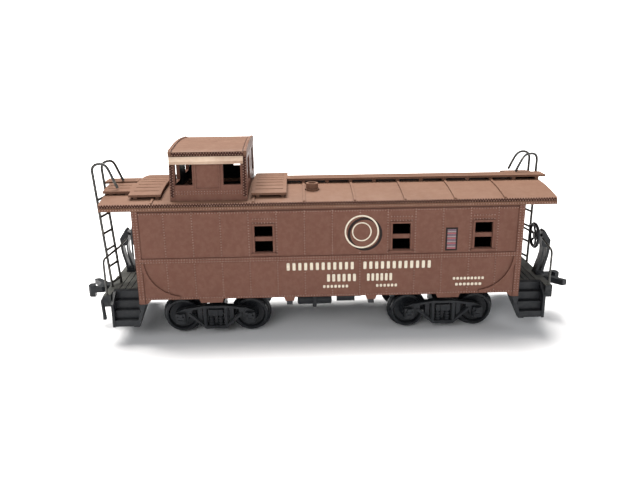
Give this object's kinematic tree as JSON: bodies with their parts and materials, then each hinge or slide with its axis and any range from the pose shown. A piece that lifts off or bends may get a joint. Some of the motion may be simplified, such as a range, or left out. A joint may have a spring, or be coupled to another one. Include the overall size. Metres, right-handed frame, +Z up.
{
  "type": "model railway caboose",
  "caption": "Model railway caboose with riveted sides, offset cupola, roof walks, end platforms with steps and ladders, swivelling trucks and swinging couplers.",
  "frame": {"origin": "midway between the trucks, on the car's centre line, level with the lowest points of the wheel flanges", "axes": "+X along the car towards the end away from the cupola, +Y across to the car's left, +Z up"},
  "size_m": [0.1398, 0.0336, 0.0536],
  "materials": {
    "body": "moulded brown plastic, satin",
    "roof": "moulded brown plastic, dusty",
    "visor": "weathered pale brown plastic",
    "black_plastic": "black plastic, satin",
    "platform": "black plastic, dusty planks",
    "wire": "dark grey wire",
    "steel": "plain steel",
    "wheel": "black plastic wheel"
  },
  "bodies": {
    "car_body": {"body_shell": "body", "roof": "roof", "cupola_shell": "body", "cupola_roof": "roof", "cupola_visor_left": "visor", "cupola_visor_right": "visor", "running_board_long": "roof", "running_board_short": "roof", "lateral_walk_a": "roof", "lateral_walk_b": "roof", "roof_end_board_a": "roof", "roof_end_board_b": "roof", "smoke_jack": "roof", "underframe": "black_plastic", "ballast_weight": "steel", "air_reservoir": "black_plastic", "brake_cylinder": "black_plastic", "end_platform_a": "platform", "end_platform_b": "platform", "coupler_cover_a": "black_plastic", "coupler_cover_b": "black_plastic", "coupler_cover_screws": "steel", "steps_a_left": "black_plastic", "steps_a_right": "black_plastic", "steps_b_left": "black_plastic", "steps_b_right": "black_plastic", "ladder_a": "wire", "ladder_b": "wire", "end_railing_a": "wire", "end_railing_b": "wire", "brake_stand_a": "black_plastic", "brake_stand_b": "black_plastic", "air_hose_a": "black_plastic", "air_hose_b": "black_plastic", "kingpin_a": "steel", "kingpin_b": "steel"},
    "coupler_a": {"coupler_a": "black_plastic"},
    "coupler_b": {"coupler_b": "black_plastic"},
    "hand_wheel_a": {"brake_wheel_a": "black_plastic"},
    "hand_wheel_b": {"brake_wheel_b": "black_plastic"},
    "truck_a": {"truck_frame_a": "black_plastic"},
    "truck_b": {"truck_frame_b": "black_plastic"},
    "wheelset_1": {"axle_1": "steel", "wheels_1": "wheel"},
    "wheelset_2": {"axle_2": "steel", "wheels_2": "wheel"},
    "wheelset_3": {"axle_3": "steel", "wheels_3": "wheel"},
    "wheelset_4": {"axle_4": "steel", "wheels_4": "wheel"}
  },
  "joints": [
    {"name": "truck_a_swivel", "type": "hinge", "parent": "car_body", "child": "truck_a", "pos_m": [-0.0319, 0, 0.009], "axis": [0, 0, 1], "range_deg": [-10, 10]},
    {"name": "coupler_a_swing", "type": "hinge", "parent": "car_body", "child": "coupler_a", "pos_m": [-0.0556, 0, 0.011], "axis": [0, 0, 1], "range_deg": [-9, 9]},
    {"name": "brake_wheel_a_spin", "type": "hinge", "parent": "car_body", "child": "hand_wheel_a", "pos_m": [-0.0588, 0.0049, 0.0257], "axis": [1, 0, 0], "continuous": true},
    {"name": "truck_b_swivel", "type": "hinge", "parent": "car_body", "child": "truck_b", "pos_m": [0.0319, 0, 0.009], "axis": [0, 0, 1], "range_deg": [-10, 10]},
    {"name": "coupler_b_swing", "type": "hinge", "parent": "car_body", "child": "coupler_b", "pos_m": [0.0556, 0, 0.011], "axis": [0, 0, 1], "range_deg": [-9, 9]},
    {"name": "brake_wheel_b_spin", "type": "hinge", "parent": "car_body", "child": "hand_wheel_b", "pos_m": [0.0607, -0.0049, 0.0257], "axis": [1, 0, 0], "continuous": true},
    {"name": "wheelset_1_roll", "type": "hinge", "parent": "truck_a", "child": "wheelset_1", "pos_m": [-0.04155, 0, 0.00565], "axis": [0, 1, 0], "continuous": true},
    {"name": "wheelset_2_roll", "type": "hinge", "parent": "truck_a", "child": "wheelset_2", "pos_m": [-0.02225, 0, 0.00565], "axis": [0, 1, 0], "continuous": true},
    {"name": "wheelset_3_roll", "type": "hinge", "parent": "truck_b", "child": "wheelset_3", "pos_m": [0.02225, 0, 0.00565], "axis": [0, 1, 0], "continuous": true},
    {"name": "wheelset_4_roll", "type": "hinge", "parent": "truck_b", "child": "wheelset_4", "pos_m": [0.04155, 0, 0.00565], "axis": [0, 1, 0], "continuous": true}
  ]
}
